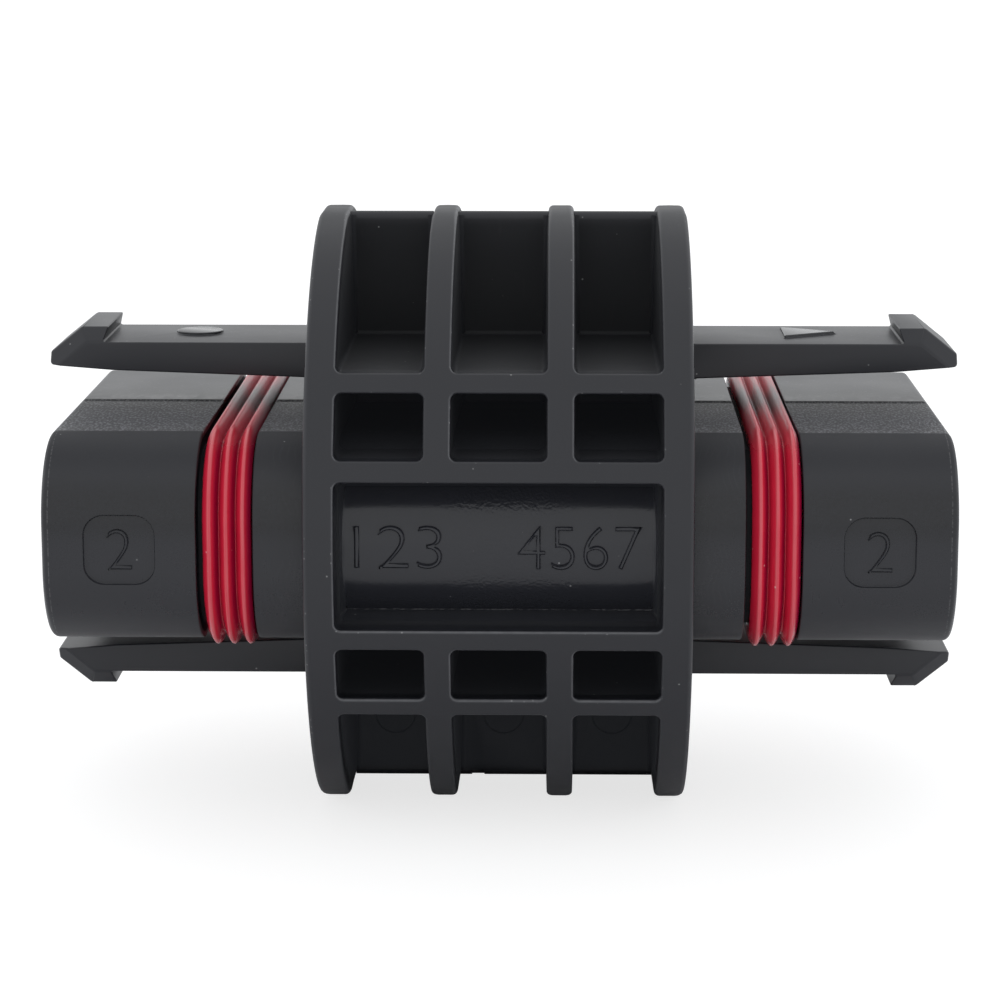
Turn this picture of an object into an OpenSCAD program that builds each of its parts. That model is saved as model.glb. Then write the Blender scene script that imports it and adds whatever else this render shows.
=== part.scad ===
// Inline coupler for a microinverter trunk cable: a round ribbed grip between two flat sealed plugs,
// each held in its mating half by an upper and a lower latch arm. X runs along the cable, Z is up.

/* [Grip] */
// Length of the grip along the cable
grip_width = 35.7; // [34:0.1:38]
// Height of the grip over its two flats
grip_height = 57.8; // [55:0.2:58.2]
// Diameter of the grip
grip_diameter = 58.9; // [57.9:0.2:64]
// How far the grip's axis lies below the middle of the plugs
grip_drop = 0.25; // [0:0.05:0.3]
// Thickness of the two outer ribs
outer_rib = 2.85; // [2.2:0.05:3.2]
// Thickness of the two inner ribs
inner_rib = 2.5; // [2:0.1:3]
// Distance between the centres of the inner ribs
inner_rib_pitch = 11.3; // [10:0.1:12.6]
// Thickness of the wall in the grip's middle plane
web_thickness = 1.8; // [1.2:0.1:2.6]
// Height of the recess in the middle of the grip's front
label_height = 13.7; // [13:0.1:15]
// How far the walls of that recess lean in, in degrees
label_draft = 10; // [2:0.5:14]
// Radius to which the bottom of that recess is rounded
label_floor_radius = 9.4; // [8.6:0.1:9.8]
// Thickness of the bars above and below that recess
bar_thickness = 1.95; // [1.5:0.05:2.3]
// Height of the upper shelves' outer face above the middle
upper_shelf = 16.3; // [15.4:0.05:17]
// Depth of the lower shelves' outer face below the middle
lower_shelf = 15.75; // [15.4:0.05:17]
// Thickness of the shelves
shelf_thickness = 1.75; // [1.4:0.05:2.4]
// Corner radius of the grip's pockets
pocket_corner = 0.6; // [0.3:0.1:1]
// Radius of the round on the grip's outer edges
grip_round = 0.5; // [0.2:0.1:1]

/* [Plugs] */
// Length of the body over both plug ends
plug_length = 84.4; // [82:0.2:87]
// Height of a plug
plug_height = 19.7; // [19:0.1:20.2]
// Front-to-back size of a plug
plug_depth = 51.9; // [50.9:0.2:54.1]
// Radius of the plug's four long corners
plug_corner = 7.8; // [7:0.1:9]
// Radius of the round on a plug's end edge
end_round = 0.6; // [0.3:0.1:1]
// Thickness of the shell around the socket towers
shell_wall = 2.4; // [2:0.1:2.8]
// Depth of the hollow in a plug's end
end_pocket_depth = 13.4; // [11:0.2:14]
// Outside diameter of a socket tower
tower_diameter = 10; // [9.2:0.1:10.4]
// How far the towers stand back from the plug's end
tower_setback = 1; // [0.4:0.1:2]
// Thickness of the rib that keys the plug
key_width = 1.6; // [1.2:0.1:2.4]
// Depth of the grained panels on the front half of the plug's flat faces
panel_depth = 0.12; // [0.05:0.01:0.3]

/* [Seals] */
// Distance from the grip to the seal groove
groove_offset = 4.85; // [3.6:0.05:5.2]
// Width of the seal groove
groove_width = 5.2; // [5.2:0.1:6]
// Depth of the seal groove
groove_depth = 1.6; // [1.3:0.1:2]
// Distance between the seal's lips
lip_pitch = 1.55; // [1.45:0.01:1.58]
// Thickness of a seal lip
lip_thickness = 1.48; // [1.2:0.02:1.48]
// Height of a lip from the valley beside it to its crest
lip_rise = 1.25; // [0.8:0.05:1.3]
// Radius of the lips' bulging flanks
lip_flank = 2.6; // [1.8:0.1:4]
// How far the seal lips stand out of the plug
lip_proud = 0.7; // [0.5:0.05:1]
// How far both seals sit off the middle of their grooves, to the right
seal_shift = 0.25; // [0:0.01:0.28]

/* [Latch arms] */
// Length over the tips of the arms
arm_span = 88.4; // [88:0.2:92]
// Width of an arm
arm_width = 12.8; // [10:0.2:15]
// Gap between a plug and the root of an arm
arm_gap = 3.15; // [2.8:0.05:3.6]
// Thickness of an arm at its root
arm_root = 3.5; // [3:0.1:3.8]
// Thickness of an arm below its hook
arm_neck = 2.75; // [2.4:0.05:3]
// Height of a hook above its arm
hook_height = 1.4; // [1.1:0.05:1.9]
// Length of the hook's flat top
hook_land = 2.6; // [2:0.1:3.4]
// Length of the ramp in front of the hook
hook_ramp = 3.1; // [2.8:0.1:3.8]
// How far the hook's catching edge hangs over its foot
hook_undercut = 0.45; // [0.2:0.05:0.8]
// How far the hook's sides lean in
hook_bevel_width = 1.15; // [0.5:0.05:1.5]
// Height of an arm's tip
tip_height = 1.4; // [1:0.05:1.6]

/* [Contacts] */
// Distance between neighbouring poles
pole_pitch = 16.4; // [15.8:0.1:16.6]
// Diameter of the mating pin
pin_diameter = 4; // [3.6:0.1:4.2]
// Depth of a socket
socket_depth = 15; // [13:0.5:17]
// Outside diameter of a socket
socket_diameter = 6; // [5.8:0.1:6.4]
// How far the line and neutral sockets stand back from their towers
socket_setback = 2; // [1.5:0.1:3]
// How far the earth contact reaches past the others, at each end
earth_lead = 1; // [0:0.1:1.2]
// Width of the slots that let a socket spring
slot_width = 0.5; // [0.4:0.05:0.6]

/* [Marks] */
// Size of the square pads on the front of the plugs
pad_size = 6.55; // [5.6:0.05:7.4]
// Depth of the pads
pad_depth = 0.35; // [0.2:0.05:0.6]
// Height of the round and three-sided marks on the upper arms
mark_height = 0.3; // [0.1:0.05:0.4]

/* [Hidden] */
$fn = 96;
over = 1;                    // how far a cutter runs past what it cuts
fit_gap = 0.02;              // gap between a contact and the plastic around it
seal_gap = 0.03;             // gap between a seal and the floor of its groove

plug_z = plug_height / 2;
plug_y = plug_depth / 2;
corner_y = plug_y - plug_corner;                 // centres of the plug's long corners
corner_z = plug_z - plug_corner;
end_x = plug_length / 2;
tower_x = end_x - tower_setback;
pocket_x = end_x - end_pocket_depth;

grip_x = grip_width / 2;
grip_z = grip_height / 2;
grip_r = grip_diameter / 2;
web_drop = 0.2;                                  // the middle wall stops short of the ribs' flats
label_z = label_height / 2;
bar_z = label_z + bar_thickness;
inner_rib_x = inner_rib_pitch / 2;
bay_x = [[-(inner_rib_x - inner_rib / 2), inner_rib_x - inner_rib / 2],
         [inner_rib_x + inner_rib / 2, grip_x - outer_rib],
         [-(grip_x - outer_rib), -(inner_rib_x + inner_rib / 2)]];
label_x = grip_x - outer_rib;
label_face = grip_r - 0.6;                       // where the recess's walls start to lean

groove_x = grip_x + groove_offset;
groove_floor_r = plug_corner - groove_depth;
seal_x = groove_x + groove_width / 2;
seal_base = groove_depth + lip_proud - lip_rise - seal_gap;
lip_half = lip_thickness / 2;
lip_chord = norm([lip_half, lip_rise]);          // from a lip's foot to its crest
flank_back = sqrt(pow(lip_flank, 2) - pow(lip_chord / 2, 2));
flank_x = lip_half / 2 - flank_back * lip_rise / lip_chord;
flank_out = lip_rise / 2 - flank_back * lip_half / lip_chord;

arm_in = plug_z + arm_gap;                       // inner face of an arm at its root
arm_out = arm_in + arm_root;                     // outer face of an arm at its root
tip_x = arm_span / 2;
tip_round = 0.35;                                // radius of the tip's corners
ramp_x = tip_x - hook_ramp;
catch_x = ramp_x - hook_land;
hook_z = arm_out + hook_height;
neck_z = arm_out - arm_neck;
tip_rise = 0.45;                                 // the inner face keeps rising a little to the tip
tip_z = neck_z + tip_rise;
ramp_angle = atan((hook_z - tip_z - tip_height) / (hook_ramp - tip_round));
bevel_angle = atan(hook_bevel_width / hook_height);
bevel_cutter = 4;                                // size of the block that cuts a bevel
root_round = 0.9;
embed = 1.2;                                     // how far an arm runs into the grip's side

contact_step = 0.5;                              // the moulded-in middle is thicker than the sockets
contact_mid_r = socket_diameter / 2 + contact_step;
contact_mid_x = 22;                              // half-length of the moulded-in middle
collar_step = 0.9;
collar_r = contact_mid_r + collar_step;
collar_width = 3;
spring_room = 0.6;                               // room for the sockets to spring
tower_bore_r = socket_diameter / 2 + spring_room;
tower_bore_x = contact_mid_x;
socket_x = tower_x - socket_setback;
lead_in = 0.5;
slot_foot = 3.75;                                // unslotted length at the bottom of a socket
slot_length = socket_depth - slot_foot;

core_gap = 2;                                    // plastic left around the moulded-in contacts
core_inset = 1;                                  // step from the end's hollow into the deeper ones
core_slot_y0 = contact_mid_r + core_gap;
core_slot_y1 = pole_pitch - contact_mid_r - core_gap;
core_slot_y = (core_slot_y1 - core_slot_y0) / 2;
core_corner = 2.2;
core_slot_z = plug_z - shell_wall - core_inset;
bulkhead = 5;                                    // plastic left between the two ends' hollows

pad_inset = 7.2;                                 // from a plug's end to the middle of its pad
pad_x = end_x - pad_inset;
pad_corner = 1.9;
mark_x = 30.2;
mark_y = 0.5;
disc_r = 2.3;
arrow_length = 5.2;
arrow_width = 6.2;
ejector_r = 2;
ejector_rise = 6.7;                              // from the grip's lower flat to the ejector marks
ejector_z = ejector_rise - grip_z;
ejector_depth = 0.2;
gate_width = 1.2;
gate_height = 0.6;

// A flat shape in Y and Z, drawn out along X from x = 0
module along_x(length) {
    rotate([90, 0, 90])
        linear_extrude(height = length)
            children();
}

// A flat shape in X and Z, drawn out along Y about the middle plane
module across_y(width) {
    rotate([90, 0, 0])
        linear_extrude(height = width, center = true)
            children();
}

// A rectangle with round corners
module rounded(x0, x1, z0, z1, r) {
    translate([x0 + r, z0])
        square([x1 - x0 - 2 * r, z1 - z0]);
    translate([x0, z0 + r])
        square([x1 - x0, z1 - z0 - 2 * r]);
    for (x = [x0 + r, x1 - r])
        for (z = [z0 + r, z1 - r])
            translate([x, z])
                circle(r);
}

// The plug's rounded oblong section, in Y and Z, drawn in by an inset
module oblong(inset) {
    square([2 * corner_y, 2 * (plug_z - inset)], center = true);
    square([2 * (plug_y - inset), 2 * corner_z], center = true);
    for (y = [-corner_y, corner_y])
        for (z = [-corner_z, corner_z])
            translate([y, z])
                circle(plug_corner - inset);
}

// Carries a profile (distance out from the corner centres, place along X) once around the plug
module around_plug() {
    front_and_back() {
        above_and_below()
            translate([0, corner_y, corner_z])
                rotate([90, 0, 90])
                    rotate_extrude(angle = 90)
                        children();
        translate([0, corner_y, 0])
            linear_extrude(height = 2 * corner_z, center = true)
                mirror([1, -1, 0])
                    children();
    }
    above_and_below()
        translate([0, 0, corner_z])
            across_y(2 * corner_y)
                mirror([1, -1, 0])
                    children();
}

module both_ends() {
    children();
    mirror([1, 0, 0])
        children();
}

module above_and_below() {
    children();
    mirror([0, 0, 1])
        children();
}

module front_and_back() {
    children();
    mirror([0, 1, 0])
        children();
}

module at_poles() {
    for (y = [-pole_pitch, 0, pole_pitch])
        translate([0, y, 0])
            rotate([0, 90, 0])
                children();
}

// The grip before its pockets are cut: a short drum with round edges, cut off flat above and below
module grip_blank() {
    intersection() {
        translate([0, 0, -grip_drop])
            rotate([0, 90, 0])
                rotate_extrude() {
                    translate([0, -grip_x])
                        square([grip_r - grip_round, grip_width]);
                    translate([0, grip_round - grip_x])
                        square([grip_r, grip_width - 2 * grip_round]);
                    for (side = [-1, 1])
                        translate([grip_r - grip_round, side * (grip_x - grip_round)])
                            circle(grip_round);
                }
        cube([grip_width + over, grip_diameter + over, grip_height], center = true);
    }
}

// Openings in one face of the grip: open bays above and below, and two rows of closed pockets
module pocket_plan() {
    for (bay = bay_x) {
        rounded(bay[0], bay[1], upper_shelf, grip_r + over, pocket_corner);
        rounded(bay[0], bay[1], bar_z, upper_shelf - shelf_thickness, pocket_corner);
        rounded(bay[0], bay[1], shelf_thickness - lower_shelf, -bar_z, pocket_corner);
        rounded(bay[0], bay[1], -grip_r - over, -lower_shelf, pocket_corner);
    }
}

// A wedge in X and Y that keeps its half-width at the grip's face and narrows behind it
module leaning(half) {
    face = half + (grip_r + over - label_face) * tan(label_draft);
    back = half - label_face * tan(label_draft);
    polygon([
        [-face, -grip_r - over],
        [face, -grip_r - over],
        [back, 0],
        [-back, 0]
    ]);
}

// Recess in the middle of the grip's face: a rounded opening whose four walls lean in
module label_cut() {
    intersection() {
        rotate([90, 0, 0])
            linear_extrude(height = grip_r)
                rounded(-label_x, label_x, -label_z, label_z, pocket_corner);
        linear_extrude(height = label_height + over, center = true)
            leaning(label_x);
        rotate([0, 90, 0])
            linear_extrude(height = 2 * label_x + over, center = true)
                leaning(label_z);
    }
}

// What that recess takes from the plug behind it: its bottom is rounded more than the plug's side
module label_floor() {
    difference() {
        label_cut();
        translate([0, label_floor_radius - plug_y, 0])
            rotate([0, 90, 0])
                cylinder(h = grip_width, r = label_floor_radius, center = true);
        translate([-grip_x, label_floor_radius - plug_y, -label_floor_radius])
            cube([grip_width, plug_y, 2 * label_floor_radius]);
    }
}

module grip() {
    difference() {
        grip_blank();
        front_and_back() {
            translate([0, -web_thickness / 2, 0])
                rotate([90, 0, 0])
                    linear_extrude(height = grip_r)
                        pocket_plan();
            label_cut();
        }
        for (bay = bay_x) {
            above_and_below()
                translate([bay[0], -web_thickness, grip_z - web_drop])
                    cube([bay[1] - bay[0], 2 * web_thickness, over]);
            translate([(bay[0] + bay[1]) / 2, ejector_depth - web_thickness / 2, ejector_z])
                rotate([90, 0, 0])
                    cylinder(h = over, r = ejector_r);
        }
        translate([bay_x[0][0] + gate_width, -web_thickness / 2 - over, -grip_z])
            cube([gate_width, over + web_thickness / 2, web_drop + gate_height]);
    }
}

// Section of the plug's skin, out from the corner centres: round end edges, and a groove for each seal
module plug_profile() {
    difference() {
        union() {
            translate([0, -end_x])
                square([plug_corner - end_round, plug_length]);
            translate([0, end_round - end_x])
                square([plug_corner, plug_length - 2 * end_round]);
            for (side = [-1, 1])
                translate([plug_corner - end_round, side * (end_x - end_round)])
                    circle(end_round);
        }
        for (side = [-1, 1])
            translate([groove_floor_r, side * seal_x - groove_width / 2])
                square([groove_depth + over, groove_width]);
    }
}

module plug() {
    around_plug()
        plug_profile();
    cube([plug_length, 2 * corner_y, 2 * corner_z], center = true);
}

// Side view of an upper arm, in X and Z
module arm_side() {
    polygon([
        [grip_x - embed, arm_in],
        [catch_x - hook_undercut, neck_z],
        [tip_x - tip_round, tip_z],
        [tip_x, tip_z + tip_round],
        [tip_x, tip_z + tip_height - tip_round],
        [tip_x - tip_round * (1 - sin(ramp_angle)), tip_z + tip_height - tip_round * (1 - cos(ramp_angle))],
        [ramp_x, hook_z],
        [catch_x, hook_z],
        [catch_x + hook_undercut, arm_out],
        [grip_x - embed, arm_out]
    ]);
    for (z = [tip_z + tip_round, tip_z + tip_height - tip_round])
        translate([tip_x - tip_round, z])
            circle(tip_round);
    difference() {
        translate([grip_x - over, arm_in - root_round])
            square([root_round + over, arm_root + 2 * root_round]);
        for (z = [arm_in - root_round, arm_out + root_round])
            translate([grip_x + root_round, z])
                circle(root_round);
    }
}

// Cuts one side of a hook back, from the arm's outer face up, along its top and down its ramp
module hook_bevel() {
    translate([catch_x - over, -arm_width / 2, arm_out])
        rotate([-bevel_angle, 0, 0])
            translate([0, -bevel_cutter, 0])
                cube([hook_land + hook_ramp + 2 * over, bevel_cutter, bevel_cutter]);
    translate([ramp_x, -arm_width / 2, hook_z])
        rotate([0, ramp_angle, 0])
            translate([-over, 0, -hook_height])
                rotate([-bevel_angle, 0, 0])
                    translate([0, -bevel_cutter, 0])
                        cube([2 * hook_ramp, bevel_cutter, bevel_cutter]);
}

module arm() {
    difference() {
        across_y(arm_width)
            arm_side();
        front_and_back()
            hook_bevel();
    }
}

// Hollow in a plug's end, in Y and Z: the shell and the three towers are left, with a key above the middle one
module end_pocket_plan() {
    difference() {
        oblong(shell_wall);
        for (y = [-pole_pitch, 0, pole_pitch])
            translate([y, 0])
                circle(tower_diameter / 2);
        translate([-key_width / 2, 0])
            square([key_width, plug_z]);
    }
}

// Deeper hollows between the poles, in Y and Z
module core_plan() {
    for (side = [-1, 1])
        translate([side * (core_slot_y0 + core_slot_y1) / 2, 0])
            rounded(-core_slot_y, core_slot_y, -core_slot_z, core_slot_z, core_corner);
}

module end_hollows() {
    translate([pocket_x, 0, 0])
        along_x(end_pocket_depth + over)
            end_pocket_plan();
    translate([tower_x, 0, 0])
        along_x(tower_setback + over)
            oblong(shell_wall);
    translate([bulkhead / 2, 0, 0])
        along_x(pocket_x - bulkhead / 2 + over)
            core_plan();
}

// Room for a contact: a tight middle with a collar, and a wider bore with a lead-in at each end
module contact_bore() {
    cylinder(h = 2 * tower_bore_x + over, r = contact_mid_r + fit_gap, center = true);
    cylinder(h = collar_width + 2 * fit_gap, r = collar_r + fit_gap, center = true);
    for (side = [0, 180])
        rotate([side, 0, 0]) {
            translate([0, 0, tower_bore_x])
                cylinder(h = tower_x - tower_bore_x + over, r = tower_bore_r);
            translate([0, 0, tower_x - lead_in])
                cylinder(h = 2 * lead_in, r1 = tower_bore_r, r2 = tower_bore_r + 2 * lead_in);
        }
}

// Shallow square pad on the front of a plug, sunk evenly into the rounded side
module pad_cut() {
    difference() {
        translate([pad_x, -plug_depth / 4, 0])
            rotate([90, 0, 0])
                linear_extrude(height = plug_depth / 2)
                    rounded(-pad_size / 2, pad_size / 2, -pad_size / 2, pad_size / 2, pad_corner);
        translate([pad_x - pad_size, 0, 0])
            along_x(2 * pad_size)
                oblong(pad_depth);
    }
}

// Shallow panels on the front half of the plug's flat faces, ending in a step at the mould's parting plane
module panel_cut() {
    translate([grip_x, -corner_y, plug_z - panel_depth])
        cube([end_x - grip_x + over, corner_y, over]);
}

module arm_marks() {
    translate([-mark_x, mark_y, arm_out - mark_height])
        cylinder(h = 2 * mark_height, r = disc_r);
    translate([mark_x, mark_y, arm_out - mark_height])
        linear_extrude(height = 2 * mark_height)
            polygon([
                [-arrow_length / 2, -arrow_width / 2],
                [arrow_length / 2, 0],
                [-arrow_length / 2, arrow_width / 2]
            ]);
}

module housing() {
    color("#2f3133")
        difference() {
            union() {
                grip();
                difference() {
                    plug();
                    both_ends()
                        above_and_below()
                            panel_cut();
                }
                both_ends()
                    above_and_below()
                        arm();
                arm_marks();
            }
            front_and_back()
                label_floor();
            both_ends() {
                end_hollows();
                pad_cut();
            }
            at_poles()
                contact_bore();
        }
}

// Section of a seal: a flat base in the groove and three pointed lips, each between two bulging flanks
module seal_profile() {
    translate([groove_floor_r + seal_gap, -lip_pitch - lip_half])
        square([seal_base, 2 * lip_pitch + lip_thickness]);
    for (lip = [-1, 0, 1])
        translate([groove_floor_r + seal_gap + seal_base, lip * lip_pitch])
            intersection() {
                translate([flank_out, flank_x])
                    circle(lip_flank);
                translate([flank_out, -flank_x])
                    circle(lip_flank);
                translate([0, -lip_half])
                    square([lip_rise, lip_thickness]);
            }
}

module seal(side) {
    color("#b3241f")
        translate([side * seal_x + seal_shift, 0, 0])
            around_plug()
                seal_profile();
}

module seal_left() {
    seal(-1);
}

module seal_right() {
    seal(1);
}

// A turned contact with a slotted socket at each end, about the origin, along Z
module contact(reach) {
    color("#c9b27a")
        difference() {
            union() {
                cylinder(h = 2 * reach, r = socket_diameter / 2, center = true);
                cylinder(h = 2 * contact_mid_x, r = contact_mid_r, center = true);
                cylinder(h = collar_width, r = collar_r, center = true);
            }
            for (side = [0, 180])
                rotate([side, 0, 0]) {
                    translate([0, 0, reach - socket_depth])
                        cylinder(h = socket_depth + over, d = pin_diameter);
                    translate([0, 0, reach - lead_in])
                        cylinder(h = 2 * lead_in, r1 = pin_diameter / 2, r2 = pin_diameter / 2 + 2 * lead_in);
                    for (turn = [45, 135])
                        rotate([0, 0, turn])
                            translate([-socket_diameter, -slot_width / 2, reach - slot_length])
                                cube([2 * socket_diameter, slot_width, slot_length + over]);
                }
        }
}

module contact_1() {
    translate([0, -pole_pitch, 0])
        rotate([0, 90, 0])
            contact(socket_x);
}

module contact_2() {
    rotate([0, 90, 0])
        contact(socket_x + earth_lead);
}

module contact_3() {
    translate([0, pole_pitch, 0])
        rotate([0, 90, 0])
            contact(socket_x);
}

housing();
seal_left();
seal_right();
contact_1();
contact_2();
contact_3();
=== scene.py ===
# %% [markdown]
# # The looks of an inline cable coupler
# The coupler is one black moulding: a round grip made of ribs, with a flat plug at each end and four latch
# arms. Two red seals sit around the plugs, and three metal contacts run through it. The solid model
# already has every piece at its real size. This lesson gives the moulding the soft edges that a mould
# leaves, and gives each surface its finish. All sizes below are in millimetres.

# %% Load the solid model as a fixed frame
import math
from types import SimpleNamespace

import bmesh
import bpy
import numpy as np
from mathutils import Matrix, Vector
from mathutils.geometry import delaunay_2d_cdt


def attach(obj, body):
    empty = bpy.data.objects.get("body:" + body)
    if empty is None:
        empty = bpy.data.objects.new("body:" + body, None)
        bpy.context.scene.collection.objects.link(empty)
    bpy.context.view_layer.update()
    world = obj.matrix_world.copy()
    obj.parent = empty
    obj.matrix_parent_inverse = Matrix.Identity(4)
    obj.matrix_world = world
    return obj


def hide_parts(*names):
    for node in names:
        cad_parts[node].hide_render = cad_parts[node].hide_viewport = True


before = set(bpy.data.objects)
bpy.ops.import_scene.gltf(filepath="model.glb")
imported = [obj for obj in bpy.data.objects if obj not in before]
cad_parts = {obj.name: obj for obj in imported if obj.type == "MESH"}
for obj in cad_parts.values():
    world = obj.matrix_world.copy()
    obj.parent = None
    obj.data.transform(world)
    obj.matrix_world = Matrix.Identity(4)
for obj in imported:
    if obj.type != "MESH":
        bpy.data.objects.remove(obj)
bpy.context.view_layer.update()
MM = 0.001
scene = bpy.context.scene
print("nodes:", sorted(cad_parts))

# %% [markdown]
# ## The camera
# A camera is easiest to match as four numbers: how far off it stands, how high, how far round, and how
# long its lens is. The lens is given in pixels, because that is how it was measured: an object as wide as
# it is far away would cover that many pixels. The middle of the lens doesn't fall on the middle of the
# picture, so the camera is shifted a little.

# %% Camera
PICTURE = 1000
LENS_PIXELS = 3067.9
LENS_CENTRE = (503.85, 497.3)
CAMERA_DISTANCE = 307.3
CAMERA_HEIGHT = math.radians(11.18)
CAMERA_TURN = math.radians(1.04)
SENSOR = 36.0

lens = bpy.data.cameras.new("camera")
lens.sensor_width = SENSOR
lens.lens = SENSOR * LENS_PIXELS / PICTURE
lens.shift_x = 0.5 - LENS_CENTRE[0] / PICTURE
lens.shift_y = LENS_CENTRE[1] / PICTURE - 0.5
camera = bpy.data.objects.new("camera", lens)
scene.collection.objects.link(camera)
sight = Vector((0, -math.cos(CAMERA_HEIGHT), math.sin(CAMERA_HEIGHT)))
sight.rotate(Matrix.Rotation(CAMERA_TURN, 3, "Z"))
camera.location = sight * CAMERA_DISTANCE * MM
camera.rotation_euler = (-sight).to_track_quat("-Z", "Y").to_euler()
scene.camera = camera
print(f"lens {lens.lens:.1f} mm, camera at {tuple(round(v, 3) for v in camera.location)} m")

# %% [markdown]
# ## Surfaces from arrays
# Each new piece is a set of patches: grids of points, or triangles, worked out with numpy as whole arrays.
# A patch also brings the direction of the surface at each of its points. Blender would otherwise guess it
# by averaging the faces around a point, and a narrow rounded edge would then smear its shading over the
# wide face beside it. A shell collects patches, joins the points that coincide, and turns each face so
# that it agrees with those directions.

# %% A shell collects patches
WELD = 1e-4


def whole_faces(faces, place):
    """Faces that are left once points are joined: those with no side shrunk to nothing, and a triangle for
    each four-sided face with one such side."""
    shrunk = place[faces] == place[np.roll(faces, -1, 1)]
    yield faces[~shrunk.any(1)]
    if faces.shape[1] == 4:
        row, column = np.nonzero(shrunk & (shrunk.sum(1) == 1)[:, None])
        yield faces[row[:, None], (column[:, None] + (1, 2, 3)) % 4]


class Shell:
    """Patches of surface that become one mesh, with points in millimetres. Each point carries a number for
    its finish, called edge: on plastic, how pale a rim is, from wear and from painted highlight, or -1 on
    the floor of a groove, which is painted dark as shade; on a seal, the place across a lip, which sets
    where painted shade turns one flank crimson."""

    def __init__(self):
        self.points, self.normals, self.edge, self.faces = [], [], [], []
        self.count = 0

    def add(self, points, normals, faces, edge=0.0):
        """A patch: points, a direction for each, and faces that number the patch's points from 0."""
        points = np.asarray(points, float).reshape(-1, 3)
        self.points.append(points)
        self.normals.append(np.asarray(normals, float).reshape(-1, 3))
        self.edge.append(np.broadcast_to(np.ravel(edge), len(points)))
        self.faces.append(np.asarray(faces) + self.count)
        self.count += len(points)

    def grid(self, points, normals, edge=0.0, closed=False):
        """A patch whose points lie in rows and columns; closed joins the last column to the first."""
        rows, columns = points.shape[:2]
        index = np.arange(rows * columns).reshape(rows, columns)
        if closed:
            index = np.hstack([index, index[:, :1]])
        quads = np.stack([index[:-1, :-1], index[:-1, 1:], index[1:, 1:], index[1:, :-1]], -1)
        self.add(points, normals, quads.reshape(-1, 4), edge)

    def mesh(self, name):
        """One mesh of all the patches. Points that coincide are joined, and a face whose diagonals' cross
        product points against its directions is turned over."""
        points = np.concatenate(self.points)
        normals = np.concatenate(self.normals)
        edge = np.concatenate(self.edge)
        _, first, place = np.unique(np.round(points / WELD), axis=0, return_index=True, return_inverse=True)
        place = place.reshape(-1)
        corners, joined = [], []
        for faces in self.faces:
            a, b, c, d = (points[faces[:, column]] for column in (0, 1, 2, -1))
            across = np.cross(c - a, d - b)
            turned = (across * normals[faces].mean(1)).sum(-1) < 0
            faces = np.where(turned[:, None], faces[:, ::-1], faces)
            for kept in whole_faces(faces, place):
                corners.append(normals[kept].reshape(-1, 3))
                joined += place[kept].tolist()
        made = bpy.data.meshes.new(name)
        made.from_pydata((points[first] * MM).tolist(), [], joined)
        made.polygons.foreach_set("use_smooth", np.ones(len(joined), bool))
        attribute = made.attributes.new("edge", "FLOAT", "POINT")
        attribute.data.foreach_set("value", edge[first].astype(np.float32))
        made.normals_split_custom_set(np.concatenate(corners).tolist())
        return made


def show(name, mesh, finish, node="housing"):
    """Puts a mesh in the scene in place of a node of the solid model."""
    piece = bpy.data.objects.new(name, mesh)
    scene.collection.objects.link(piece)
    mesh.materials.append(finish)
    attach(piece, "root")
    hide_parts(node)
    print(f"{name}: {len(mesh.vertices)} points, {len(mesh.polygons)} faces")
    return piece


print("a shell joins points within", WELD, "mm")

# %% [markdown]
# ## Writing shader maths as sums
# A finish mixes masks and noises, and as a drawing of nodes that soon becomes hard to read. Here a small
# class wraps one output of a node, and arithmetic on it adds the Math nodes. Every other node comes from
# one method, which takes the node's type, its settings, and what goes into its sockets.

# %% A value in a node tree
class Value:
    """One output of a shader node. Arithmetic on it adds Math nodes to its tree."""

    def __init__(self, tree, socket=None):
        self.tree = tree
        self.socket = socket

    def node(self, kind, inputs=None, output=0, **settings):
        """Adds a node: its settings first, then each input. A Value is linked, and anything else is
        set."""
        node = self.tree.nodes.new(kind)
        for key, setting in settings.items():
            setattr(node, key, setting)
        for key, given in (inputs or {}).items():
            if isinstance(given, Value):
                self.tree.links.new(given.socket, node.inputs[key])
            else:
                node.inputs[key].default_value = given
        return Value(self.tree, node.outputs[output])

    def math(self, operation, first, second=0.0):
        """One Math node."""
        return self.node("ShaderNodeMath", {0: first, 1: second}, operation=operation)

    def __add__(self, other):
        return self.math("ADD", self, other)

    __radd__ = __add__

    def __sub__(self, other):
        return self.math("SUBTRACT", self, other)

    def __rsub__(self, other):
        return self.math("SUBTRACT", other, self)

    def __mul__(self, other):
        return self.math("MULTIPLY", self, other)

    __rmul__ = __mul__

    def __abs__(self):
        return self.math("ABSOLUTE", self)

    def rise(self, low, high):
        """0 below low, 1 above high, and a soft step between."""
        return self.node("ShaderNodeMapRange", {0: self, 1: low, 2: high}, interpolation_type="SMOOTHSTEP")

    def within(self, low, high, soft):
        """1 from low to high, and a soft step beyond each."""
        return self.rise(low - soft, low) * (1 - self.rise(high, high + soft))

    def noise(self, scale, detail=2.0, stretch=(1, 1, 1)):
        """Cloudy noise from 0 to 1. Scale is in waves per millimetre, and stretch multiplies it along each
        axis."""
        place = self.node("ShaderNodeVectorMath", {0: self, 1: stretch}, operation="MULTIPLY")
        return self.node("ShaderNodeTexNoise", {"Vector": place, "Scale": scale, "Detail": detail})

    def mix(self, low, high):
        """A colour between two others, by this value."""
        return self.node("ShaderNodeMix", {0: self, 6: low, 7: high}, output=2, data_type="RGBA")

    def bump(self, depth, under=None):
        """A normal from this height, where 1 stands depth millimetres above 0, laid over another
        normal."""
        inputs = {"Height": self, "Distance": depth * MM, "Strength": 1.0}
        if under:
            inputs["Normal"] = under
        return self.node("ShaderNodeBump", inputs)


print("finishes can be written as sums of masks and noises")


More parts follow.
